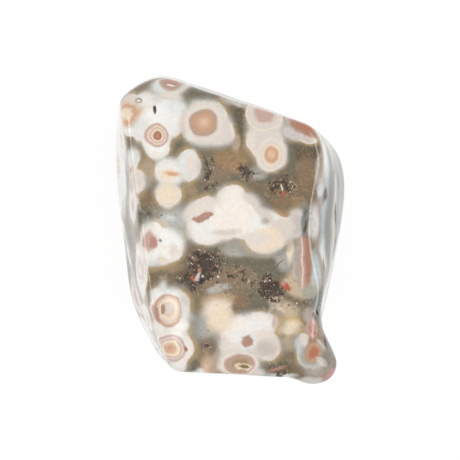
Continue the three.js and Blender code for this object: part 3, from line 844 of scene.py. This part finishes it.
def paint_crystals(g, colour, cover, hollow, chips, grains):
    """Painted shade that darkens the hollows between crystals, and pale grains as painted glints among
    rusty grains.
    """
    depth = g.math("MULTIPLY_ADD", hollow, HOLLOWS, g.math("SUBTRACT", cover, HOLLOWS / 2))
    # Painted shade darkens the hollows between crystals.
    shaded_gaps = g.step(depth, *GAP_DEPTH)
    colour = g.mix(colour, pigment("earth"), shaded_gaps)
    colour = g.mix(colour, pigment("pitch"), g.math("MULTIPLY", shaded_gaps, g.step(chips, *DARK_CHIPS)))
    colour = g.mix(colour, pigment("bronze"), g.math("MULTIPLY", shaded_gaps, g.step(chips, *BROWN_CHIPS)))
    for grain, kinds in grains:
        draws = g.picks(grain.outputs["Color"])
        beyond = g.math("MULTIPLY_ADD", draws[1], -LARGEST_GRAIN, grain.outputs["Distance"])
        speck = g.math("MULTIPLY", g.step(beyond, *GRAIN_EDGE), g.step(cover, *GRAINS_FROM))
        for draw, chance, name in kinds:
            share = g.chosen(draws[draw], chance)
            colour = g.mix(colour, pigment(name), g.math("MULTIPLY", speck, share))
    return colour


MERGE_EASE = 0.8  # over how many millimetres two growths run together
GROWTH_COLOUR_EDGE = (0.5, -0.6)


def merge_growths(g, reach, colour, point):
    """How far outside the white growths a point is, in millimetres, and the growths' colour there."""
    for place, radii, turn, name in GROWTHS:
        mean = (radii[0] + radii[1]) / 2
        distance = g.math("MULTIPLY_ADD", from_centre(g, point, place, radii, turn), mean, -mean)
        reach = g.math("SMOOTH_MIN", reach, distance, MERGE_EASE)
        colour = g.mix(colour, pigment(name), g.step(distance, *GROWTH_COLOUR_EDGE))
    return [reach, colour]


MISTY_PLACES = (0.4, 0.58)
CRISP_EDGE = 0.12
MISTY_EDGE = 0.4
# Round the edge of a growth, by millimetres outside it: start, end, and the strength at each.
SHADE = (1.7, 0.5, 0, 0.4)
SEAM = (0.9, 0.0, 0, 0.55)
RIM = (-1.1, 0.1, 0, 0.6)


def paint_growths(g, ground, reach, growth, slow):
    """The growths over the ground, crisp with a warm seam in some places and misty in others."""
    misty = g.step(slow, *MISTY_PLACES)
    ground = g.mix(ground, pigment("moss"), g.step(reach, *SHADE))
    seam = g.mix(pigment("amber"), pigment("pewter"), misty)
    colour = g.mix(ground, seam, g.step(reach, *SEAM))
    rim = g.mix(pigment("blush"), pigment("haze"), misty)
    growth = g.mix(growth, rim, g.step(reach, *RIM))
    width = g.math("MULTIPLY_ADD", misty, MISTY_EDGE - CRISP_EDGE, CRISP_EDGE)
    return g.mix(colour, growth, g.step(g.math("DIVIDE", reach, width), 1.0, -1.0))


BLUR = 0.08  # how much softer than given the edges of hearts and marks are, each way


def soft_disc(g, distance, radius, softness):
    return g.step(distance, radius + softness / 2 + BLUR, radius - softness / 2 - BLUR)


def paint_hearts(g, colour, *kinds_of_point):
    """Each heart is drawn on the neat, grained or frayed point that it asks for."""
    for place, stretch, turn, fray, shells in HEARTS:
        distance = from_centre(g, kinds_of_point[fray], place, stretch, turn)
        for radius, name, softness in shells:
            colour = g.mix(colour, pigment(name), soft_disc(g, distance, radius, softness))
    return [colour]


BAND_EDGE = (1.15, 0.8)


def paint_bands(g, colour, point):
    for place, radii, across, stops in BANDS:
        offset = g.vector("SUBTRACT", point, tuple(float(v) for v in ON_FRONT.get(place, place)))
        value = g.math("MULTIPLY_ADD", g.dot(offset, across), 0.5, 0.5)
        distance = from_centre(g, point, place, radii)
        colour = g.mix(colour, g.ramp(value, stops), g.step(distance, *BAND_EDGE))
    return [colour]


def paint_marks(g, colour, point):
    for place, stretch, turn, radius, name, softness in MARKS:
        distance = from_centre(g, point, place, stretch, turn)
        colour = g.mix(colour, pigment(name), soft_disc(g, distance, radius, softness))
    return [colour]


# Orbs with no set place, one to a cell, for the sides that the photograph doesn't show: colours from
# the middle of an orb to its edge.

WILD_TARGET = [
    (0.0, "dusk"), (0.1, "rust"), (0.17, "rust"), (0.2, "cream"), (0.26, "cream"), (0.3, "dusk"),
    (0.34, "blush"), (0.44, "blush"), (0.48, "mauve"), (0.53, "snow"), (1.0, "chalk"),
]
WILD_PLAIN = [
    (0.0, "apricot"), (0.18, "tan"), (0.3, "tan"), (0.42, "mauve"), (0.48, "mauve"), (0.52, "shell"),
    (0.62, "blush"), (0.7, "shell"), (0.85, "chalk"), (1.0, "frost"),
]
WILD_FRAYED = [(0.0, "rose"), (0.3, "rose"), (0.34, "blush"), (0.5, "chalk"), (1.0, "chalk")]
PLAIN_FROM = 0.4  # from which random number on an orb is plain, and from which frayed
FRAYED_FROM = 0.72
WILD_FRAY = 2.0  # how far the rings of a frayed orb wander, in millimetres
WILD_SPREAD = 0.6  # how unevenly the cells lie
# Each size of wild orb: size of its cells and the least and greatest radius, in millimetres.
WILD_LARGE = (6.4, 1.2, 2.9)
WILD_SMALL = (3.3, -0.4, 1.3)
WILD_SHIFT = (4, 7, 3)  # keeps the small orbs out of step with the large ones
WILD_EASE = 0.5


def wild_orbs(g, point, size, least, greatest, frays):
    """Distance outside the orbs, in millimetres, and their colour."""
    cell = g.cells(point, size, WILD_SPREAD)
    draws = g.picks(cell.outputs["Color"])
    radius = g.step(draws[0], 0.1, 0.9, least, greatest)
    middle = g.math("MULTIPLY", cell.outputs["Distance"], size)
    reach = g.math("SUBTRACT", middle, radius)
    share = g.math("DIVIDE", middle, radius)
    wandered = g.math("MULTIPLY_ADD", frays, WILD_FRAY, g.math("SUBTRACT", middle, WILD_FRAY / 2))
    frayed = g.math("DIVIDE", wandered, radius)
    target, plain = g.ramp(share, WILD_TARGET), g.ramp(share, WILD_PLAIN)
    colour = g.mix(target, plain, g.chosen(draws[1], PLAIN_FROM))
    return reach, g.mix(colour, g.ramp(frayed, WILD_FRAYED), g.chosen(draws[1], FRAYED_FROM))


def wild_growths(g, point, frays):
    """The two sizes of wild orbs, merged."""
    reach, colour = wild_orbs(g, point, *WILD_LARGE, frays)
    small, small_colour = wild_orbs(g, g.vector("ADD", point, WILD_SHIFT), *WILD_SMALL, frays)
    colour = g.mix(colour, small_colour, g.step(g.math("SUBTRACT", small, reach), 0.15, -0.15))
    return g.math("SMOOTH_MIN", reach, small, WILD_EASE), colour


def stone_point(g, shift):
    """The form's own coordinates in millimetres."""
    coordinates = g.node("ShaderNodeTexCoord").outputs["Object"]
    return g.scaled_and_moved(coordinates, (1 / MM,) * 3, tuple(-shift))


BEND_ACROSS = (0.7, -0.5, 0.6)
BEND_HEIGHT = 0.5


def bent(g, point):
    """The point swayed by plain waves, for the wild orbs."""
    waves = g.vector("SINE", g.vector("CROSS_PRODUCT", point, BEND_ACROSS))
    return g.vector("ADD", point, g.scaled(waves, BEND_HEIGHT))


# Each noise: size of its features in millimetres, detail and roughness.
NOISES = {
    "slow": (3.0, 2, 0.5),
    "drift": (4.5, 3, 0.5),
    "cloud": (1.5, 4, 0.6),
    "hollow": (0.8, 3, 0.7),
    "chips": (0.3, 3, 0.7),
    "mottle": (0.45, 4, 0.65),
}
# Each sway of the point: size of its waves, how far it goes, and detail.
SWAYS = {
    "slow": (2.8, 0.24, 1),
    "gentle": (0.9, 0.035, 2),
    "grain": (0.35, 0.06, 2),
    "fray": (0.6, 0.2, 3),
    "rag": (1.6, 0.7, 1),
}


def swayed_points(g, plain):
    """The point with more and more sway, for neat, grained, frayed and ragged edges."""
    slow = g.sway(plain, *SWAYS["slow"])
    neat = g.vector("ADD", plain, g.vector("ADD", slow, g.sway(plain, *SWAYS["gentle"])))
    grained = g.vector("ADD", neat, g.sway(plain, *SWAYS["grain"]))
    frayed = g.vector("ADD", neat, g.sway(plain, *SWAYS["fray"]))
    ragged = g.vector("ADD", frayed, g.sway(plain, *SWAYS["rag"]))
    return neat, grained, frayed, ragged


def paint_ground(g, noises, grains, grained, ragged):
    """The ground between the growths, with painted shade and glints in its crystal pockets, and how full of
    crystals it is.
    """
    hollow, chips = noises["hollow"], noises["chips"]
    ground = washed(g, pigment("olive"), noises, GROUND_WASHES)
    # Soft colour in the ground, with a painted highlight along the top edge.
    ground, = g.layer("drifts_and_highlight", paint_soft(DRIFTS_AND_HIGHLIGHT), ground, grained)
    pockets, = g.layer("pockets", pocket_cover, ragged)
    ground = paint_grit(g, ground, pockets, hollow, chips)
    return paint_crystals(g, ground, pockets, hollow, chips, grains), pockets


# Wild orbs shrink away between these heights, because the front has its own.
WILD_BELOW = 12.5
NO_WILD_ABOVE = 16.5
WILD_SHRINKAGE = 4.0


def gather_growths(g, reach, growth, noises, grained, frayed):
    """How far outside the wild and set growths a point is, and the growths' colour there."""
    wild = g.step(g.part(frayed, 2), NO_WILD_ABOVE, WILD_BELOW)
    reach = g.math("MULTIPLY_ADD", g.math("SUBTRACT", 1.0, wild), WILD_SHRINKAGE, reach)
    reach, growth = g.layer("growths", merge_growths, reach, growth, grained)
    growth = washed(g, growth, noises, GROWTH_WASHES)
    growth, = g.layer("flushes", paint_soft(FLUSHES), growth, grained)
    return reach, growth


RING_PLACES = (0.4, 0.6)
RING_SPACING = 0.33
RING_STRENGTH = 0.025
MOTTLE_SHADES = (0.95, 1.04)


def mottle_and_ring(g, colour, reach, slow, mottle):
    """Fine mottling all over, with faint rings round the growths in the misty places."""
    rings = g.math("SINE", g.math("MULTIPLY", reach, 2 * pi / RING_SPACING))
    ringed = g.math("MULTIPLY", rings, g.step(slow, *RING_PLACES, 0.0, RING_STRENGTH))
    shade = g.math("ADD", g.step(mottle, 0.3, 0.7, *MOTTLE_SHADES), ringed)
    grey = g.node("ShaderNodeCombineColor", {0: shade, 1: shade, 2: shade}).outputs[0]
    return g.mix(colour, grey, 1.0, "MULTIPLY")


POLISH_ROUGHNESS = 0.06
POCKET_ROUGHNESS = 0.5  # how much rougher a pocket can be
POCKET_BUMP = 0.25 * MM
BUMP_STRENGTH = 0.6
QUARTZ_IOR = 1.54
LIGHT_UNDER_SKIN = 0.4  # the share of light that goes in and comes out
LIGHT_DEPTH = 0.4 * MM
DEPTH_SHARES = (1.0, 0.85, 0.7)  # red goes deepest


def polish(g, colour, pockets, chips):
    """The polished skin, rougher and finely bumped in the pockets."""
    pock = g.math("MULTIPLY", pockets, chips)
    roughness = g.math("MULTIPLY_ADD", pock, POCKET_ROUGHNESS, POLISH_ROUGHNESS)
    bump = g.node("ShaderNodeBump", {"Height": pock, "Strength": BUMP_STRENGTH, "Distance": POCKET_BUMP})
    sockets = {
        "Base Color": colour,
        "Roughness": roughness,
        "Normal": bump.outputs[0],
        "IOR": QUARTZ_IOR,
        "Subsurface Weight": LIGHT_UNDER_SKIN,
        "Subsurface Scale": LIGHT_DEPTH,
        "Subsurface Radius": DEPTH_SHARES,
    }
    shader = g.node("ShaderNodeBsdfPrincipled", sockets)
    g.node("ShaderNodeOutputMaterial", {"Surface": shader.outputs[0]})


def jasper_material(shift):
    material = bpy.data.materials.new("polished_jasper")
    material.use_nodes = True
    material.node_tree.nodes.clear()
    g = Graph(material.node_tree)

    plain = stone_point(g, shift)
    noises = {name: g.noise(plain, size, detail, roughness=rough)
              for name, (size, detail, rough) in NOISES.items()}
    grains = [(g.cells(plain, size), kinds) for size, kinds in GRAINS]
    reach, growth = wild_growths(g, bent(g, plain), noises["hollow"])
    neat, grained, frayed, ragged = swayed_points(g, plain)

    ground, pockets = paint_ground(g, noises, grains, grained, ragged)
    reach, growth = gather_growths(g, reach, growth, noises, grained, frayed)
    colour = paint_growths(g, ground, reach, growth, noises["slow"])
    colour, = g.layer("bands", paint_bands, colour, grained)
    colour, = g.layer("hearts", paint_hearts, colour, neat, grained, frayed)
    colour, = g.layer("marks", paint_marks, colour, grained)
    colour = mottle_and_ring(g, colour, reach, noises["slow"], noises["mottle"])
    polish(g, colour, pockets, noises["chips"])
    return material


# Floor, light and camera

PHOTO_PIXELS = 460
STONE_PIXELS = 308  # the stone's length in the photograph
FRAME_WIDTH = PHOTO_PIXELS * LENGTH / STONE_PIXELS * MM
LENS = 1000
SENSOR = 36
EYE_LEVEL = 12 * MM  # height at which the frame's width is measured
FARTHEST = 10  # how far the camera sees, in metres
FLOOR_HALF = 0.6
FLOOR_GREY = 0.12
FLOOR_GLOW = 0.88
SKY_STRENGTH = 0.9
# Each softbox: place and size in metres, and brightness.
SOFTBOXES = {
    "right softbox": ((0.5, 0.05, 0.42), (0.5, 0.24), 4.2),
    "left softbox": ((-0.5, 0.1, 0.42), (0.5, 0.2), 3.8),
    "window": ((-0.115, -0.075, 1.2), (0.13, 0.06), 3.6),
}


def floor_material():
    material = bpy.data.materials.new("pale_floor")
    material.use_nodes = True
    sockets = {
        "Base Color": (FLOOR_GREY, FLOOR_GREY, FLOOR_GREY, 1),
        "Roughness": 0.9,
        "Specular IOR Level": 0.2,
        "Emission Color": (1, 1, 1, 1),
        "Emission Strength": FLOOR_GLOW,
    }
    for name, value in sockets.items():
        material.node_tree.nodes["Principled BSDF"].inputs[name].default_value = value
    return material


def make_floor():
    corners = [(FLOOR_HALF * (2 * i - 1), FLOOR_HALF * (2 * j - 1), 0) for i, j in SQUARE]
    mesh = bpy.data.meshes.new("floor")
    mesh.from_pydata(corners, [], [(0, 1, 2, 3)])
    mesh.materials.append(floor_material())
    floor = new_object("floor", mesh)


def softbox(name, place, size, brightness):
    """A rectangle of even light that faces the stone."""
    light = bpy.data.lights.new(name, "AREA")
    light.shape = "RECTANGLE"
    light.size, light.size_y = size
    light.energy = brightness * pi * size[0] * size[1]
    lamp = new_object(name, light)
    lamp.location = place
    lamp.rotation_euler = (-Vector(place)).to_track_quat("-Z", "Y").to_euler()


def make_lights():
    world = bpy.data.worlds.new("studio")
    world.use_nodes = True
    world.node_tree.nodes["Background"].inputs["Color"].default_value = (1, 1, 1, 1)
    world.node_tree.nodes["Background"].inputs["Strength"].default_value = SKY_STRENGTH
    bpy.context.scene.world = world
    for name, (place, size, brightness) in SOFTBOXES.items():
        softbox(name, place, size, brightness)


def make_camera(middle):
    """A camera straight above the photograph's middle."""
    data = bpy.data.cameras.new("camera")
    data.lens = LENS
    data.sensor_width = SENSOR
    data.clip_end = FARTHEST
    camera = new_object("camera", data)
    camera.location = (middle[0] * MM, middle[1] * MM, EYE_LEVEL + FRAME_WIDTH * LENS / SENSOR)
    bpy.context.scene.camera = camera


def main():
    stone, shift = make_stone()
    stone.data.materials.append(jasper_material(shift))
    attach(stone, "root")
    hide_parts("stone")
    make_floor()
    make_lights()
    make_camera(shift)
    bpy.context.scene.view_settings.view_transform = "Standard"


main()
